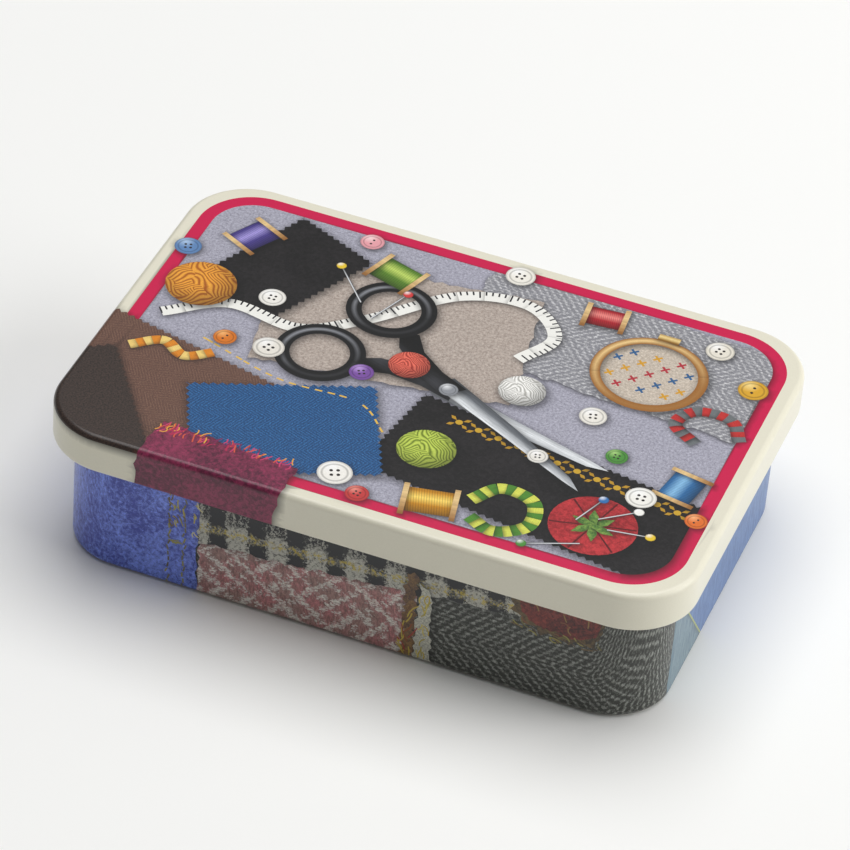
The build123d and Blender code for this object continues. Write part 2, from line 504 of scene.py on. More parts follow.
varnish = {
    "roughness": 0.36,
    "ior": 1.42,
    "coat": 0.25,
    "coatRoughness": 0.14,
    "peel": {"size": 1.1, "height": 0.1, "strength": 0.05},  # orange peel of the levelled varnish
    "speckSize": 0.2,  # the halftone's specks, as coarse as the photograph shows them
    "shadowTone": 0.28,  # deepest of the shadows that are painted into the picture
}


def printed(add, pattern, grain):  # inks under varnish
    place = add("UVMap", uv_map="print")
    sides = add("SeparateXYZ", (place,)).outputs
    found = pattern(add, place, sides[0], sides[1])
    dark = found.get("dark") or add("Attribute", attribute_name="warp")
    light = add("Attribute", attribute_name="weft")
    colour = add("Mix", {"Factor": found["mask"], "A": dark, "B": light}, data_type="RGBA")
    if "over" in found:
        mask, hexColour = found["over"]
        colour = add("Mix", {"Factor": mask, "A": colour, "B": ink(hexColour)}, data_type="RGBA")
    where = add("TexCoord").outputs["Object"]
    perMetre = 1 / (varnish["speckSize"] * mm)
    tone = speckled(add, where, (perMetre, 2.0, 0.75), (0.3, 0.7, 1 - grain, 1 + grain))
    if "tone" in found:
        tone = add("Math", (tone, found["tone"]), operation="MULTIPLY")
    shade = add("Attribute", attribute_name="shade").outputs["Fac"]
    dim = add("MapRange", (shade, 0.0, 1.0, 1.0, varnish["shadowTone"]))
    tone = add("Math", (tone, dim), operation="MULTIPLY")
    toned = add("Mix", {"Factor": 1.0, "A": colour, "B": tone}, data_type="RGBA",
                blend_type="MULTIPLY")
    peel = varnish["peel"]
    hills = add("TexNoise", {"Vector": where, "Scale": 1 / (peel["size"] * mm), "Detail": 1.0})
    bump = add("Bump", {"Strength": peel["strength"], "Distance": peel["height"] * mm,
                        "Height": hills})
    return {"Base Color": toned, "Roughness": varnish["roughness"], "IOR": varnish["ior"],
            "Coat Weight": varnish["coat"], "Coat Roughness": varnish["coatRoughness"],
            "Normal": bump}


def lacquered(add):  # rolled tinplate under clear lacquer: a dull shine with a lengthwise grain
    where = add("TexCoord").outputs["Object"]
    # rolling marks 1/6 mm wide and 17 mm long
    along = add("Mapping", {"Vector": where, "Scale": (60.0, 6000.0, 6000.0)})
    marks = add("TexNoise", {"Vector": along, "Scale": 1.0, "Detail": 3.0})
    cloud = add("TexNoise", {"Vector": where, "Scale": 90.0, "Detail": 3.0})
    tint = add("Mix", {"Factor": cloud, "A": ink("#B9B5AB"), "B": ink("#D2CEC3")},
               data_type="RGBA")
    rough = add("MapRange", (marks, 0.0, 1.0, 0.26, 0.46))
    bump = add("Bump", {"Strength": 0.12, "Distance": 0.05 * mm, "Height": marks})
    return {"Base Color": tint, "Metallic": 1.0, "Roughness": rough, "Normal": bump,
            "Coat Weight": 0.4, "Coat Roughness": 0.15}


def sheared(add):  # cut tinplate: bare steel, brighter and scratched across every 1/8 mm
    where = add("TexCoord").outputs["Object"]
    burr = add("TexNoise", {"Vector": where, "Scale": 8000.0, "Detail": 2.0})
    tint = add("Mix", {"Factor": burr, "A": ink("#8F8D88"), "B": ink("#C4C2BC")},
               data_type="RGBA")
    rough = add("MapRange", (burr, 0.0, 1.0, 0.35, 0.6))
    return {"Base Color": tint, "Metallic": 1.0, "Roughness": rough}


def uncoated(add):  # backdrop paper: matt, so that it shows no gloss
    return {"Base Color": ink("#F6F6F4"), "Roughness": 0.9}


def surface(title, build, *values):
    material = bpy.data.materials.new(title)
    material.use_nodes = True
    material.node_tree.nodes.clear()
    add = partial(addTo, material.node_tree)
    shader = add("BsdfPrincipled", build(add, *values))
    add("OutputMaterial", {"Surface": shader})
    return material


inks = {}
for key, title, pattern, grain in (
    ("flat", "plain ink", flatPattern, 0.02),
    ("felt", "wool felt", feltPattern, 0.18),
    ("fleck", "flecked tweed", fleckPattern, 0.2),
    ("herringbone", "wool herringbone", herringbonePattern, 0.2),
    ("check", "shepherd's check", checkPattern, 0.22),
    ("diamond", "figured tweed", diamondPattern, 0.24),
    ("denim", "washed denim", denimPattern, 0.14),
    ("thread", "wound thread", threadPattern, 0.08),
    ("disc", "moulded disc", discPattern, 0.06),
    ("ball", "ball of yarn", ballPattern, 0.14),
    ("rod", "lit rod", rodPattern, 0.06),
    ("ring", "lit ring", ringPattern, 0.08),
):
    inks[key] = surface("tinplate print, " + title, printed, pattern, grain)
inks["bare"] = surface("plain lacquered tinplate", lacquered)
inks["edge"] = surface("bare cut edge of tinplate", sheared)
print("inks and metals mixed,", len(inks), "materials")


def turned(point, degrees, at):
    cos, sin = math.cos(math.radians(degrees)), math.sin(math.radians(degrees))
    x, y = point
    return at[0] + x * cos - y * sin, at[1] + x * sin + y * cos


def motif(finish, colours, outline, at=(0, 0), turn=0.0, lift=0.0, scale=1.0, inPlace=False):
    # one printed shape; lift is how far it seems to stand off the cloth below
    if isinstance(colours, str):
        colours = (colours, colours)
    if not inPlace:
        outline = [turned(point, turn, at) for point in outline]
    return {"finish": inks[finish], "colours": colours, "outline": outline,
            "at": at, "turn": turn, "lift": lift, "scale": scale}


def trimmed(motifs, core, radius):  # cut off where the picture, or the sheet, ends
    for item in motifs:
        nearest, direction, distance = fromCore(item["outline"], core)
        held = nearest + direction * np.minimum(distance, radius)[:, None]
        item["outline"] = [tuple(p) for p in held]


def roundedBlock(halfX, halfY, radius):
    return ringPoints((halfX - radius, halfY - radius), radius)


def block(length, width):
    x, y = length / 2, width / 2
    return [(-x, -y), (x, -y), (x, y), (-x, y)]


def disc(radius, count=26):
    angles = [2 * math.pi * i / count for i in range(count)]
    return [(radius * math.cos(a), radius * math.sin(a)) for a in angles]


def arcBand(outer, inner, first, last, count=22):
    angles = [math.radians(first + (last - first) * i / count) for i in range(count + 1)]
    outside = [(outer * math.cos(a), outer * math.sin(a)) for a in angles]
    return outside + [(inner * math.cos(a), inner * math.sin(a)) for a in reversed(angles)]


def edgesOf(corners):
    for i, start in enumerate(corners):
        end = corners[(i + 1) % len(corners)]
        run = Vector(end) - Vector(start)
        yield Vector(start), run, run.length, Vector((-run.y, run.x)).normalized()


def pinked(length, width, tooth=1.3, depth=0.55):  # cut with pinking shears
    outline = []
    for start, run, reach, out in edgesOf(block(length, width)):
        teeth = round(reach / tooth)
        for k in range(teeth):
            outline.append(tuple(start + run * k / teeth))
            outline.append(tuple(start + run * (k + 0.5) / teeth + out * depth))
    return outline


def frayedEdge(corners, step=1.1, amount=0.35):  # torn or frayed
    outline = []
    for start, run, reach, out in edgesOf(corners):
        parts = max(1, round(reach / step))
        for k in range(parts):
            off = random.uniform(-amount, amount)
            outline.append(tuple(start + run * k / parts + out * off))
    return outline


def frayed(length, width):
    return frayedEdge(block(length, width))


def smoothPath(points, steps=8):  # a curve through all of these points
    points = [Vector(p) for p in points]
    points = [2 * points[0] - points[1], *points, 2 * points[-1] - points[-2]]
    path = []
    for i in range(1, len(points) - 2):
        before, here, ahead, after = points[i - 1:i + 3]
        for k in range(steps):
            t = k / steps
            straight = (ahead - before) * t
            square = (2 * before - 5 * here + 4 * ahead - after) * t ** 2
            cube = (3 * here - before - 3 * ahead + after) * t ** 3
            path.append(0.5 * (2 * here + straight + square + cube))
    path.append(points[-2])
    return path


def pathLengths(path):
    steps = [(b - a).length for a, b in zip(path, path[1:])]
    return np.concatenate([[0.0], np.cumsum(steps)])


def evenPath(path, step):  # the same curve with its points this far apart
    lengths = pathLengths(path)
    spots = np.linspace(0, lengths[-1], max(2, round(lengths[-1] / step)) + 1)
    xs = np.interp(spots, lengths, [p.x for p in path])
    ys = np.interp(spots, lengths, [p.y for p in path])
    return [Vector((float(x), float(y))) for x, y in zip(xs, ys)]


def strip(path, width):  # a band of this width along a path
    left, right = [], []
    for i, point in enumerate(path):
        ahead = path[min(i + 1, len(path) - 1)] - path[max(i - 1, 0)]
        out = Vector((-ahead.y, ahead.x)).normalized() * width / 2
        left.append(tuple(point + out))
        right.append(tuple(point - out))
    return right + left[::-1]


def degreesOf(vector):
    return math.degrees(math.atan2(vector.y, vector.x))


def looseThreads(middle, spread, count, length, turn, colours):  # short bent ends of yarn
    ends = []
    for _ in range(count):
        at = [middle[i] + random.uniform(-1, 1) * spread[i] for i in (0, 1)]
        half = length * random.uniform(0.35, 0.6)
        sag = random.uniform(-0.35, 0.35)
        bow = [Vector(p) for p in ((-half, 0), (-half / 3, sag), (half / 3, sag), (half, 0))]
        colour = random.choice(colours)
        ends.append(motif("flat", colour, strip(bow, 0.2), at, turn + random.uniform(-35, 35)))
    return ends


def placed(at, turn, shapes):  # small thing made of several shapes round its own middle
    parts = []
    for finish, colours, outline, spot, spin, lift, scale in shapes:
        parts.append(motif(finish, colours, outline, turned(spot, turn, at), turn + spin, lift, scale))
    return parts


def spool(at, turn, length, width, colours):
    wood, flange, end = ("#A9743B", "#E9C98F"), block(0.8, width + 1.6), length / 2 + 0.35
    return placed(at, turn, [
        ("thread", colours, block(length, width), (0, 0), 0, 1.0, width / 2),
        ("rod", wood, flange, (-end, 0), 0, 0.8, width),
        ("rod", wood, flange, (end, 0), 0, 0.8, width),
    ])


def button(at, radius, colours, holes=4):
    parts = [motif("disc", colours, disc(radius), at, lift=0.9, scale=radius)]
    spin = random.uniform(0, 90)
    for i in range(holes):
        hole = turned((radius * 0.27, 0), spin + 360 * i / holes, at)
        parts.append(motif("flat", "#2A2422", disc(radius * 0.11, 8), hole))
    return parts


def pin(at, turn, length, head):
    return placed(at, turn, [
        ("rod", ("#7E8288", "#F2F4F6"), block(length, 0.26), (0, 0), 0, 0.5, 0.13),
        ("disc", (head, "#FFFFFF"), disc(0.75, 14), (length / 2, 0), -turn, 0.6, 0.95),
    ])


def yarnBall(at, radius, colours):
    return [motif("ball", colours, disc(radius, 30), at, lift=1.3, scale=radius)]


def ribbon(points, width, colours, band=1.15):  # striped across, each band a piece of it
    path = evenPath(smoothPath(points, 10), band / 3)
    parts = []
    for i in range(0, len(path) - 3, 3):
        piece = path[i:i + 4]
        turn = degreesOf(piece[-1] - piece[0])
        back = Matrix.Rotation(math.radians(-turn), 2)
        outline = strip([back @ (q - piece[1]) for q in piece], width)
        parts.append(motif("rod", colours[i % 2], outline, tuple(piece[1]), turn, lift=0.5,
                           scale=width / 2))
    return parts


def runningStitch(path, colour, length=1.1, gap=0.8, width=0.3):
    parts = []
    walked = 0.0
    for a, b in zip(path, path[1:]):
        step = (b - a).length
        if walked % (length + gap) < step:
            parts.append(motif("flat", colour, block(length, width), tuple((a + b) / 2),
                               degreesOf(b - a)))
        walked += step
    return parts


def tapeMeasure(points, width, markStep=0.9):
    path = smoothPath(points, 12)
    parts = []
    for i in range(0, len(path) - 4, 4):
        parts.append(motif("flat", "#F1F0EA", strip(path[i:i + 5], width), lift=0.8))
    lengths = pathLengths(path)
    for mark in range(int((lengths[-1] - 0.5) / markStep) + 1):
        i = int(np.searchsorted(lengths, mark * markStep, "right")) - 1
        ahead = (path[i + 1] - path[i]).normalized()
        out = Vector((-ahead.y, ahead.x))
        tall = width * (0.7 if mark % 5 == 0 else 0.4)
        middle = path[i] + ahead * (mark * markStep - lengths[i]) + out * (width - tall) / 2
        parts.append(motif("flat", "#26262B", block(0.26, tall), tuple(middle), degreesOf(ahead)))
    return parts


def shears(at, turn):  # half open
    steel, japan, lit = ("#777C83", "#E9ECEF"), ("#0E0E10", "#3A3B40"), ("#0E0E10", "#8C8E94")
    blade = [(-27, 0.1), (-24, 1.2), (-12, 2.0), (2, 2.3), (3, -1.2), (-10, -0.6), (-24, -0.2)]
    shank = [(0, -1.6), (6, -1.4), (12, 0.4), (15, 3.0), (12.5, 4.6), (9, 2.6), (4, 1.8), (-1, 2.0)]
    shapes = []
    for side in (1, -1):
        for colours, outline, lift, scale in ((steel, blade, 1.3, 2.0), (japan, shank, 1.2, 2.2)):
            half = [(x, y * side) for x, y in outline]
            shapes.append(("rod", colours, half, (0, 0), 7 * side, lift, scale))
        for first in (0, 180):
            bow = arcBand(6.6, 4.3, first, first + 180)
            shapes.append(("ring", lit, bow, (18.6, 7.4 * side), -turn, 1.2, 5.4))
    shapes.append(("disc", ("#8D9096", "#F4F5F7"), disc(1.4, 18), (0.5, 0), -turn, 0.8, 1.4))
    return placed(at, turn, shapes)


def pincushion(at, radius):
    parts = [motif("felt", ("#8E1B22", "#C4363B"), disc(radius, 34), at, lift=1.4)]
    rib = [(0.8, -0.08), (radius * 0.97, -0.16), (radius * 0.97, 0.16), (0.8, 0.08)]
    leaf = [(0, -0.45), (radius * 0.3, -0.7), (radius * 0.55, 0), (radius * 0.3, 0.7), (0, 0.45)]
    for turn in range(15, 375, 60):
        parts.append(motif("flat", "#5C1016", rib, at, turn))
        parts.append(motif("felt", ("#3F6B2C", "#7FA24A"), leaf, at, turn + 30, lift=0.4))
    return parts


def hoop(at, radius):  # embroidery hoop with a sampler of crosses
    shapes = [("fleck", ("#B6A898", "#D6CBBD"), disc(radius - 0.6, 44), (0, 0), 0, 0.6, 1.0)]
    for first in (20, 200):
        wood = arcBand(radius, radius - 1.5, first, first + 180)
        shapes.append(("ring", ("#9A6428", "#F0CE8E"), wood, (0, 0), 0, 1.1, radius - 0.75))
    brass = ("#A5762E", "#F5DA94")
    shapes.append(("rod", brass, block(3.2, 1.5), (0, radius + 0.4), 0, 0.7, 0.75))
    for row in range(-2, 3):
        for column in range(-3, 4):
            if (row + column) % 2 == 0 and math.hypot(row, column) < 3.4:
                spot = (column * radius * 0.21, row * radius * 0.23)
                colour = ("#B0303C", "#2F5E8C", "#D19A2A")[(row + 2 * column) % 3]
                for turn in (45, 135):
                    shapes.append(("flat", colour, block(1.5, 0.36), spot, turn, 0, 1.0))
    return placed(at, 0, shapes)


def sprigs(start, step, count):  # worked in gold along a cloth
    leaf = [(0.6, 0), (1.3, 0.32), (1.9, 0), (1.3, -0.32)]
    parts = []
    for i in range(count):
        at = (start[0] + step[0] * i, start[1] + step[1] * i)
        parts.append(motif("flat", "#C9A02C", disc(0.55, 10), at))
        parts += [motif("flat", "#B98D22", leaf, at, turn) for turn in (35, -35, 145, 215)]
    return parts


lid = {
    "core": (37.5, 22.3),
    "flat": 9.1,  # from the core to the end of the flat top
    "level": 24.575,
    "edgeRadius": 0.775,
    "edgeSteps": 8,
    "skirt": 4.65,
    "hemRadius": 0.525,
    "hemTurn": 225,
    "printSide": 1,
    "drawnFrom": 9.1,
    "window": (11.0, 1.7, 0.5),  # width, height above the hem's axis, corner
    "loose": (54, 39, 0.75),  # points added inside: half length, half width, how far apart
}
lid["line"] = walkLine((lid["flat"], lid["level"]), [
    ("bend", lid["edgeRadius"], -90, lid["edgeSteps"]),
    ("run", lid["skirt"], 0, 4),
    ("bend", lid["hemRadius"], -lid["hemTurn"], 16),  # rolled inwards
])
lidEnd = lid["flat"] + lid["line"][-1, 0]

picture = {
    "cream": "#E3DFCC",
    "border": ("#CB0C4A", (45.173, 30.033, 8.77)),  # half length, half width, corner radius
    "ground": (("#8F8E9C", "#B9B8C6"), (43.1, 28.0, 6.7)),
    # ink, colours, cut, size, middle, turn, lift, scale, where it ends
    "cloths": [
        ("herringbone", ("#86868C", "#DCDCDE"), frayed, (46, 21), (21, 17.5), -4, 0.8, 1.25, "ground"),
        ("fleck", ("#9C8E85", "#C4B8AE"), frayed, (38, 25), (-9, 9), 9, 0.8, 1.2, "ground"),
        ("felt", ("#0E0D0E", "#232022"), pinked, (48, 19), (22, -16), -9, 1.2, 1.0, "ground"),
        ("felt", ("#0E0D0E", "#232022"), pinked, (15, 22), (-29, 15), -24, 1.2, 1.0, "ground"),
        ("herringbone", ("#5E4238", "#8E6B58"), pinked, (36, 26), (-35.7, -19.9), -13, 1.2, 0.55, "edge"),
        ("fleck", ("#1C1716", "#4A3A32"), pinked, (20, 24), (-45, -27), 35, 0.9, 0.7, "edge"),
        ("herringbone", ("#123F70", "#3E88C6"), pinked, (27, 20), (-15, -19), 24, 1.3, 0.6, "hem"),
        ("felt", ("#4E1730", "#8E2F52"), frayed, (21, 16), (-21, -33.5), -5, 1.0, 1.0, "hem"),
    ],
    "fringe": ("#B0244E", "#D2563A", "#7A1E4E", "#E0A23C", "#C83A6A"),
    "tape": [
        ([(-41, -2), (-33, 4), (-22, 3), (-14, 9), (-4, 20), (6, 22.5), (12, 17), (9, 10)], 2.1),
    ],
    "shears": [((3, -1), 158)],
    "pincushion": [((31, -20), 6.2)],
    "spools": [
        ((-36, 20.5), 62, 5.6, 5.0, ("#4B3F8C", "#A79BE0")),
        ((-14, 21), -18, 6.0, 5.2, ("#5F8A2A", "#C5DE6A")),
        ((9, -25), 12, 6.4, 5.2, ("#C98A12", "#FFDC6A")),
        ((39.5, -7), 80, 5.4, 4.8, ("#2F6FA8", "#8CC2EA")),
        ((17, 24.6), 5, 5.0, 4.2, ("#B5202C", "#F28A84")),
    ],
    "yarn": [
        ((-38.5, 6.5), 5.2, ("#A85A12", "#EFA63A")),
        ((4.5, -14.5), 4.2, ("#6B7F1E", "#C3D658")),
        ((12, 3.5), 3.4, ("#B0AEA8", "#FBFAF6")),
        ((-4.5, 2), 3.0, ("#9C2A22", "#E8705C")),
    ],
    "ribbons": [
        ([(14, -22), (17, -18), (22, -19), (23, -24), (19, -27), (15, -25.5)], 2.2,
         ("#D9DE5A", "#4F8A2C")),
        ([(38, 3), (34, 6), (36, 10), (41, 10), (43.5, 6)], 2.0, ("#6F7476", "#C4302E")),
        ([(-42, -11), (-38, -8), (-34, -10), (-30, -7)], 1.9, ("#F3D27A", "#E28A1E")),
    ],
    "buttons": [
        ((-24, -3), 2.3, ("#E9E4DA", "#FFFFFF")),
        ((-30.5, -3.5), 1.7, ("#D8761C", "#FFC27A"), 2),
        ((-28, 8), 2.0, ("#F0EDE6", "#FFFFFF")),
        ((-5, -24.8), 2.5, ("#F2EFE8", "#FFFFFF")),
        ((-0.6, -27.6), 1.7, ("#C43A3A", "#F5A090")),
        ((34.5, 24.5), 2.1, ("#E8E2D4", "#FFFFFF")),
        ((41.6, 18), 2.2, ("#D9A52A", "#FFE79A"), 2),
        ((23, 2.5), 2.0, ("#EDE9E0", "#FFFFFF")),
        ((29, -4.5), 1.6, ("#4C8F3A", "#B7E08A")),
        ((35, -11.5), 2.2, ("#F3F1EA", "#FFFFFF")),
        ((43.5, -13), 1.6, ("#E0702A", "#FFC089"), 2),
        ((-43.8, 14), 2.0, ("#5F86B8", "#BCD6F2")),
        ((-20, 26.8), 1.8, ("#E7A0A8", "#FFE3E3"), 2),
        ((2.5, 28.6), 2.2, ("#F0ECE2", "#FFFFFF")),
        ((-10, -2.5), 1.8, ("#7A4FA0", "#CBA8EC")),
        ((19, -9.2), 1.5, ("#E9E6DE", "#FFFFFF")),
    ],
    "pins": [
        ((-19, 16), 130, 9, "#E8C52C"),
        ((-12, 13.5), 70, 8, "#D23A3A"),
        ((29.5, -17), 70, 6, "#2F6FB0"),
        ((33.5, -16.5), 40, 6, "#F4F2EC"),
        ((36, -19.5), 10, 6, "#E8C52C"),
        ((27, -26), 205, 8, "#4C8F3A"),
    ],
}

lidDesign = []
halfX, halfY, corner = picture["ground"][1]
ends = {
    "ground": ((halfX - corner, halfY - corner), corner + 0.02),
    "edge": (lid["core"], lid["flat"] + 1.0),  # on the drawn edge
    "hem": (lid["core"], lidEnd),
}
for finish, colours, cut, size, at, turn, lift, scale, end in picture["cloths"]:
    cloth = motif(finish, colours, cut(*size), at, turn, lift, scale)
    trimmed([cloth], *ends[end])
    lidDesign.append(cloth)
lidDesign += looseThreads((-21, -25.9), (10, 0.9), 70, 1.5, 75, picture["fringe"])
lidDesign += sprigs((6.5, -7.0), (3.1, -0.49), 12)
lidDesign += runningStitch(smoothPath([(-33, -5), (-20, -9), (-8, -9), (-2, -14)], 20), "#E3B94A")
lidDesign += hoop((27, 15), 8.5)
for draw, title in (
    (tapeMeasure, "tape"), (shears, "shears"), (spool, "spools"), (pincushion, "pincushion"),
    (yarnBall, "yarn"), (ribbon, "ribbons"), (button, "buttons"), (pin, "pins"),
):
    for values in picture[title]:
        lidDesign += draw(*values)
trimmed(lidDesign, lid["core"], lidEnd - tin["bareMargin"])
lidMotifs = [motif("flat", picture["cream"], ringPoints(lid["core"], lidEnd + tin["bleed"]))]
for finish, title in (("flat", "border"), ("fleck", "ground")):
    colours, size = picture[title]
    lidMotifs.append(motif(finish, colours, roundedBlock(*size)))
lidMotifs += lidDesign
print("picture laid out,", len(lidMotifs), "shapes")


def loosePoints(halfX, halfY, step, jitter=0.15):  # they carry the painted shadows
    points = []
    for i in range(-int(halfX / step), int(halfX / step) + 1):
        for j in range(-int(halfY / step), int(halfY / step) + 1):
            x = i * step + random.uniform(-jitter, jitter)
            points.append((x, j * step + random.uniform(-jitter, jitter)))
    return points


def windowOutline(middle):  # in the back of the skirt, as it lies in the flat blank
    width, height, corner = lid["window"]
    bottom = lid["core"][1] + lid["flat"] + lid["line"][lid["edgeSteps"], 0] + lid["skirt"]
    top = bottom - height
    outline = []
    for side in (-1, 1):
        x = side * width / 2
        bevel = [(x, bottom), (x, top + corner), (x - side * 0.3 * corner, top + 0.3 * corner),
                 (x - side * corner, top)]
        outline += bevel[::-side]
    return [(middle + x, y) for x, y in outline]


windows = [windowOutline(x) for x in tin["tonguesAt"]]
lidShell = drawnSheet("lidShell", lid, windows, lidMotifs, loosePoints(*lid["loose"]))
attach(lidShell, "lid")
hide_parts("tin_lid")

tray = {
    "core": (35.9, 20.7),
    "flat": 3.9,  # from the core to the end of the raised panel
    "level": 0.725,
    "panelBend": 0.4,
    "panelSlope": 45,
    "foot": 2.882,
    "footEnds": 10,  # steps of the line before the drawn edge
    "edgeRadius": 0.975,
    "edgeSteps": 9,
    "wallFrom": 1.1,  # height at which the wall starts
    "wall": 22.65,
    "rimRadius": 0.425,
    "rimTurn": 225,
    "printSide": -1,
    "drawnFrom": 9.0,
    "reliefWidth": 11.0,
    "reliefFrom": 22.75,
    "printEnds": 0.55,  # past the foot, on the drawn edge
}
tray["line"] = walkLine((tray["flat"], tray["level"]), [
    ("run", 0.186, 0, 1),
    ("bend", tray["panelBend"], -tray["panelSlope"], 3),
    ("run", 0.517, 0, 1),
    ("bend", tray["panelBend"], tray["panelSlope"], 3),
    ("run", tray["foot"], 0, 2),
    ("bend", tray["edgeRadius"], 90, tray["edgeSteps"]),
    ("run", tray["wall"], 0, 15),
    ("bend", tray["rimRadius"], -tray["rimTurn"], 14),  # rolled outwards
])
trayFoot = tray["flat"] + tray["line"][tray["footEnds"], 0]
trayWall = tray["flat"] + tray["line"][tray["footEnds"] + tray["edgeSteps"], 0]
trayEnd = tray["flat"] + tray["line"][-1, 0]
cornerX, cornerY = tray["core"]


def rise(z):  # from the core to this height of the wall
    return trayWall - tray["wallFrom"] + z


def front(x, z):
    return (x, -cornerY - rise(z))


def right(y, z):
    return (cornerX + rise(z), y)


def back(x, z):
    return (x, cornerY + rise(z))


def left(y, z):
    return (-cornerX - rise(z), y)


patchwork = {  # dark and light wool of each cloth
    "charcoal": ("#2E302B", "#A3A69F"),
    "violet": ("#3A46A2", "#7F97F0"),
    "figured": ("#A98680", "#DAD7CF"),
    "check": ("#1E2024", "#B4B3A8"),
    "rawEdge": ("#4E3A30", "#8C6A3E"),
    "selvedge": ("#8F9088", "#D4D3C2"),
    "patchFringe": ("#33281F", "#6E5A38"),
    "patch": ("#3E1412", "#8A352E"),
    "faded": ("#3F6378", "#7C949C"),
    "denim": ("#2A538F", "#5C81B4"),
    "brown": ("#5A4238", "#9C8270"),
    "yellowThread": "#A7AE55",
    # loose yarns and stitches
    "topStitch": ("#8E8A44", "#57502E", "#6E6A4A"),
    "rawYarn": ("#C0902E", "#8C4A28", "#B9A23C", "#9A3A34", "#6B4A2C"),
    "selvedgeYarn": ("#B9A23C", "#A89A48", "#C9B85A"),
    "fringeYarn": ("#6E6632", "#6A5430", "#8E8640", "#4E3C28"),
    "patchYarn": ("#7E4A30", "#8A6A3A", "#7A3430"),
    "darkTangle": ("#B0A43A", "#6B5A2E", "#8E8A44"),
    "tangle": ("#B0A43A", "#8E8A44"),
    "paleTangle": ("#B0A43A", "#C4BE8A"),
}
trayDesign = []


def sew(finish, cloth, outline, at, turn=0.0, lift=0.0, scale=1.0):  # the outline is in its place
    trayDesign.append(motif(finish, patchwork[cloth], outline, at, turn, lift, scale, inPlace=True))


def tangle(middle, spread, count, length, turn, yarns):  # loose ends of yarn on the front
    ends = looseThreads(front(*middle), spread, count, length, turn, patchwork[yarns])
    trayDesign.extend(ends)


def topStitches(x, z, high):  # a ragged upright column on the front
    while z < high:
        colour = random.choice(patchwork["topStitch"])
        length = random.uniform(0.7, 1.0)
        at = front(x + random.uniform(-0.2, 0.2), z)
        turn = random.uniform(-25, 25)
        trayDesign.append(motif("flat", colour, block(0.26, length), at, turn))
        z += random.uniform(0.85, 1.15)


# patchwork of cloths round the wall, in the order that they overlap; what lies past the sheet
# is brought back to its edge
low, high = -3, 25
sew("herringbone", "charcoal", ringPoints(tray["core"], trayEnd + tin["bleed"]), (0, 0), scale=1.5)
sew("felt", "violet", frayedEdge([
    front(-22.8, low), front(-22.6, high), (-80, -60), (-80, 6), left(6, high), left(6, low),
    (-cornerX, -cornerY)]), front(-30, 0), lift=0.3)
sew("diamond", "figured", frayedEdge([
    front(-22.8, low), front(9.8, low), front(9.8, 12.4), front(-22.6, 9.9)], 0.8, 0.3),
    front(-19, 2.2), -3, lift=0.3)
sew("check", "check", frayedEdge([
    front(-22.8, 9.4), front(-6, 10.6), front(9.8, 12.0), front(12, 12.6), front(25, 13.6),
    front(25.5, high), front(-22.4, high)], 0.9, 0.35), front(-16.9, 12.6), -3, lift=0.3)
# a raw edge of brown and yellow threads, then a grey selvedge with yellow stitches
sew("felt", "rawEdge", frayedEdge([
    front(8.0, low), front(9.9, low), front(9.9, 15.5), front(8.2, 15.2)], 0.6, 0.45),
    front(8, 0), lift=0.2, scale=0.6)
sew("fleck", "selvedge", frayedEdge([
    front(9.8, low), front(12.8, low), front(12.2, 8), front(12.1, 12.8), front(10.4, 14.2)],
    0.7, 0.3), front(9, 0), lift=0.3, scale=0.8)
tangle((8.9, 4.5), (0.9, 4.5), 16, 2.6, 90, "rawYarn")
tangle((11.2, 6.5), (0.5, 6.0), 16, 1.6, 90, "selvedgeYarn")
# a round patch with a rough yellow and brown fringe
patchMiddle = front(31, 16.5)
for cloth, halfX, halfZ, ragged in (("patchFringe", 7.6, 5.0, 0.6), ("patch", 6.4, 4.2, 0.2)):
    ring = [(patchMiddle[0] + halfX * x, patchMiddle[1] + halfZ * y) for x, y in disc(1.0, 21)]
    sew("felt", cloth, frayedEdge(ring, 0.6, ragged), front(31, 16), scale=0.8)
tangle((31, 12.0), (6.5, 0.9), 22, 1.8, 20, "fringeYarn")
tangle((30, 15.5), (5.0, 2.2), 12, 1.4, 60, "patchYarn")
# top stitching down the felt: two ragged columns with yellow tangles between them
topStitches(-27.2, 0.6, 17)
topStitches(-24.8, 0.6, 17)
tangle((-26.0, 13.5), (1.1, 2.6), 16, 1.2, 80, "darkTangle")
tangle((-26.0, 8.2), (0.9, 0.25), 5, 1.2, 0, "tangle")
tangle((-23.2, 13.0), (0.6, 3.0), 8, 1.2, 70, "paleTangle")
# right side: a faded strip, a thread, and denim that runs on to the back
sew("denim", "faded", frayedEdge([
    (cornerX + 5, -cornerY - 0.8), (cornerX + 34, -cornerY - 5.4), right(-16, high),
    right(-10, 8.3), right(-4, low), (cornerX + 3, -6)], 1.2, 0.2), right(0, 0), lift=0.2)
sew("denim", "denim", [
    right(-6, low), right(-8.5, 1.7), right(-13.9, 8.3), right(-22, 18.5), right(-24, high),
    (80, -10), (80, 60), back(9, high), back(10, low), (cornerX, cornerY)], right(0, 0), lift=0.2)
seam = [Vector(right(y, z)) for y, z in ((-7, 0), (-8.4, 1.7), (-13.7, 8.3), (-22, 18.5))]
sew("flat", "yellowThread", strip(seam, 0.28), (0, 0))
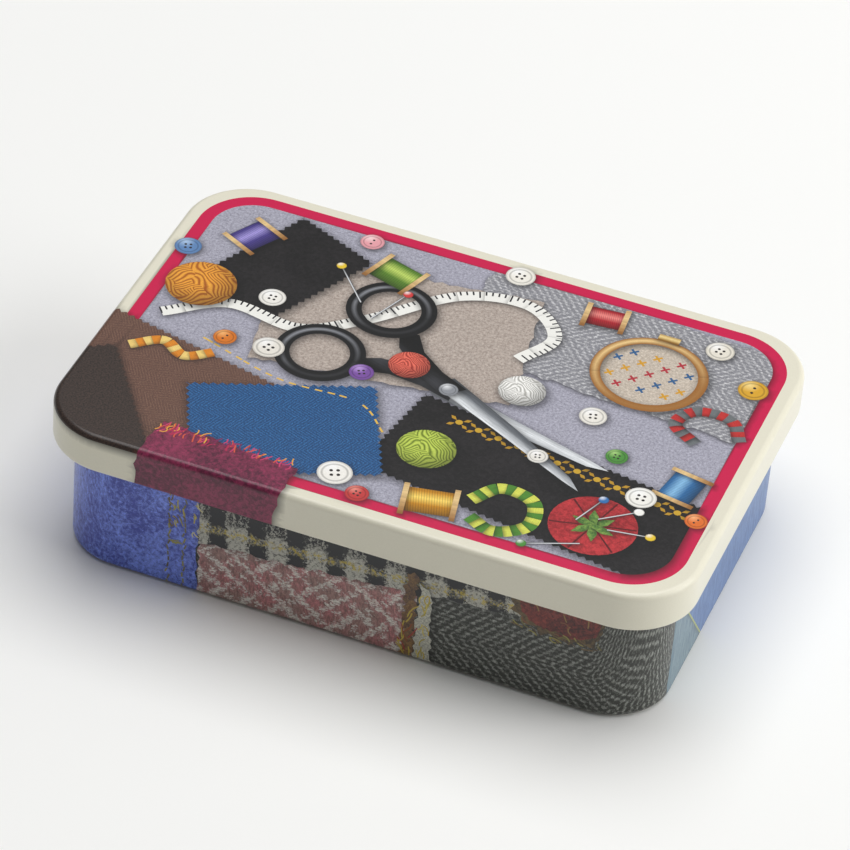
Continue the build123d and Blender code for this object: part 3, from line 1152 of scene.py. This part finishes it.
# back and left side, which the photograph doesn't show, go on in the same cloths
sew("fleck", "brown", frayedEdge([
    back(-8, low), back(-8.5, high), (-80, 60), (-80, 6), left(6, high), left(6, low)]),
    back(-20, 0), lift=0.3, scale=1.3)
sew("check", "check", frayedEdge([
    back(9.5, 12.5), back(-9, 11.5), back(-9, high), back(9.5, high)]),
    back(0, 13.0), 183, lift=0.3)
sew("diamond", "figured", frayedEdge([
    left(6, low), left(6, high), left(19, high), left(20, low)]),
    left(10, 2), 90, lift=0.3)
trimmed(trayDesign[1:], tray["core"], trayEnd - tin["bareMargin"])
underside = ringPoints(tray["core"], trayFoot + tray["printEnds"])
trayDesign.append(motif("bare", "#FFFFFF", underside))
print("patchwork laid out,", len(trayDesign), "shapes")


def reliefOutline(middle):  # where a tongue leaves the wall, the rim isn't rolled
    low = cornerY + rise(tray["reliefFrom"])
    high = cornerY + trayEnd + 2  # well past the cut edge
    x0, x1 = middle - tray["reliefWidth"] / 2, middle + tray["reliefWidth"] / 2
    return [(x0, low), (x1, low), (x1, high), (x0, high)]


reliefs = [reliefOutline(x) for x in tin["tonguesAt"]]
trayShell = drawnSheet("trayShell", tray, reliefs, trayDesign, [])
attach(trayShell, "tray")
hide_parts("tin_tray")

hinge = {
    "width": 10.0,
    "y": 31.65,
    "z": 19.15,
    "wallY": 29.575,
    "wallZ": 22.75,
    "strandY": 30.815,  # the run behind the skirt
    "bendRadius": 0.62,
    "bendZ": 23.555,
    "rollRadius": 0.835,  # round the hem
    "rollTurn": 265,
    "bendSteps": 12,
    "rollSteps": 32,
}


def tonguePath():  # middle of the strip, in the plane across the hinge
    path = [(hinge["wallY"], hinge["wallZ"])]
    middle = (hinge["wallY"] + hinge["strandY"]) / 2
    for y, z, radius, turn, steps in (
        (middle, hinge["bendZ"], hinge["bendRadius"], -180, hinge["bendSteps"]),
        (hinge["y"], hinge["z"], hinge["rollRadius"], hinge["rollTurn"], hinge["rollSteps"]),
    ):
        for i in range(steps + 1):
            angle = math.radians(180 + turn * i / steps)
            path.append((y + radius * math.cos(angle), z + radius * math.sin(angle)))
    return path


def tonguesTree():
    tree = bpy.data.node_groups.new("tongues rolled round the hem", "GeometryNodeTree")
    tree.is_modifier = True
    face = tree.interface
    face.new_socket("Geometry", in_out="INPUT", socket_type="NodeSocketGeometry")
    for title in ("Width", "Thickness", "Apart"):
        face.new_socket(title, in_out="INPUT", socket_type="NodeSocketFloat")
    face.new_socket("Material", in_out="INPUT", socket_type="NodeSocketMaterial")
    face.new_socket("Geometry", in_out="OUTPUT", socket_type="NodeSocketGeometry")
    add = partial(addTo, tree)
    source = add("NodeGroupInput").outputs
    route = add("GeometryNodeMeshToCurve", {"Mesh": source["Geometry"]})
    section = add("GeometryNodeCurvePrimitiveQuadrilateral",
                  {"Width": source["Width"], "Height": source["Thickness"]})
    body = add("GeometryNodeCurveToMesh",
               {"Curve": route, "Profile Curve": section, "Fill Caps": True})
    flat = add("GeometryNodeSetShadeSmooth", {"Geometry": body, "Shade Smooth": False})
    half = add("Math", (source["Apart"], -0.5), operation="MULTIPLY")
    first = add("CombineXYZ", (half,))
    step = add("CombineXYZ", (source["Apart"],))
    spots = add("GeometryNodeMeshLine", {"Count": 2, "Start Location": first, "Offset": step})
    both = add("GeometryNodeInstanceOnPoints", {"Points": spots, "Instance": flat})
    real = add("GeometryNodeRealizeInstances", {"Geometry": both})
    done = add("GeometryNodeSetMaterial", {"Geometry": real, "Material": source["Material"]})
    add("NodeGroupOutput", {"Geometry": done})
    return tree


def grown(name, mesh, tree, values):  # runs a tree on a mesh and keeps the plain result
    piece = bpy.data.objects.new(name, mesh)
    bpy.context.collection.objects.link(piece)
    modifier = piece.modifiers.new("nodes", "NODES")
    modifier.node_group = tree
    for item in tree.interface.items_tree:
        if item.in_out == "INPUT" and item.name in values:
            modifier[item.identifier] = values[item.name]
    bpy.context.view_layer.update()
    shown = piece.evaluated_get(bpy.context.evaluated_depsgraph_get())
    made = bpy.data.meshes.new_from_object(shown)
    piece.modifiers.clear()
    piece.data = made
    return piece


path = tonguePath()
pathMesh = bpy.data.meshes.new("tonguePath")
pathEdges = [(i, i + 1) for i in range(len(path) - 1)]
pathMesh.from_pydata([(0, y * mm, z * mm) for y, z in path], pathEdges, [])
tongues = grown("hingeTongues", pathMesh, tonguesTree(), {
    "Width": hinge["width"] * mm, "Thickness": tin["sheet"] * mm,
    "Apart": (tin["tonguesAt"][1] - tin["tonguesAt"][0]) * mm, "Material": inks["bare"],
})
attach(tongues, "tray")
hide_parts("tin_tray")
print("hingeTongues rolled,", len(tongues.data.polygons), "faces")

studio = {
    "paper": (4.0, -0.02 * mm),  # its side in metres, and how far it is below the tin
    "ambient": 0.14,
    # name, place in metres, size, power
    "softBoxes": [("window", (0.95, 0.2, 0.5), 0.9, 7.2), ("ceiling", (0.0, 0.33, 1.3), 1.3, 15.5)],
}
side, level = studio["paper"]
floorMesh = bpy.data.meshes.new("floor")
floorMesh.from_pydata([(x, y, level) for x, y in block(side, side)], [], [(0, 1, 2, 3)])
floorMesh.materials.append(surface("matt white backdrop paper", uncoated))
floor = bpy.data.objects.new("floor", floorMesh)
bpy.context.collection.objects.link(floor)

scene = bpy.context.scene
world = bpy.data.worlds.new("studio")
world.use_nodes = True
world.node_tree.nodes["Background"].inputs["Color"].default_value = (1, 1, 1, 1)
world.node_tree.nodes["Background"].inputs["Strength"].default_value = studio["ambient"]
scene.world = world
scene.view_settings.view_transform = "Standard"
for name, place, size, power in studio["softBoxes"]:
    light = bpy.data.lights.new(name, "AREA")
    light.shape = "SQUARE"
    light.size = size
    light.energy = power
    lamp = bpy.data.objects.new(name, light)
    lamp.location = place
    lamp.rotation_euler = (-Vector(place)).to_track_quat("-Z", "Y").to_euler()
    bpy.context.collection.objects.link(lamp)
print("floor and light done")

shot = {
    "azimuth": 18.251,
    "elevation": 38.667,
    "roll": 4.809,
    "distance": 665.0,
    "slide": (-0.3157, 4.883),
    "target": 10.556,  # height of the point that the camera turns about
    "lens": 197.316,
    "sensor": 36,
    "clip": (0.05, 10),  # metres
}


def photoCamera():
    az, el, roll = (math.radians(shot[k]) for k in ("azimuth", "elevation", "roll"))
    away = Vector((math.sin(az) * math.cos(el), -math.cos(az) * math.cos(el), math.sin(el)))
    across = Vector((0, 0, 1)).cross(away).normalized()
    up = away.cross(across)
    x = across * math.cos(roll) + up * math.sin(roll)
    y = up * math.cos(roll) - across * math.sin(roll)
    place = away * shot["distance"] + x * shot["slide"][0] + y * shot["slide"][1]
    place += Vector((0, 0, shot["target"]))
    data = bpy.data.cameras.new("photoCamera")
    data.lens = shot["lens"]
    data.sensor_width = shot["sensor"]
    data.clip_start, data.clip_end = shot["clip"]
    camera = bpy.data.objects.new("photoCamera", data)
    facing = Matrix((x, y, away)).transposed().to_4x4()
    camera.matrix_world = Matrix.Translation(place * mm) @ facing
    bpy.context.collection.objects.link(camera)
    return camera


scene.camera = photoCamera()
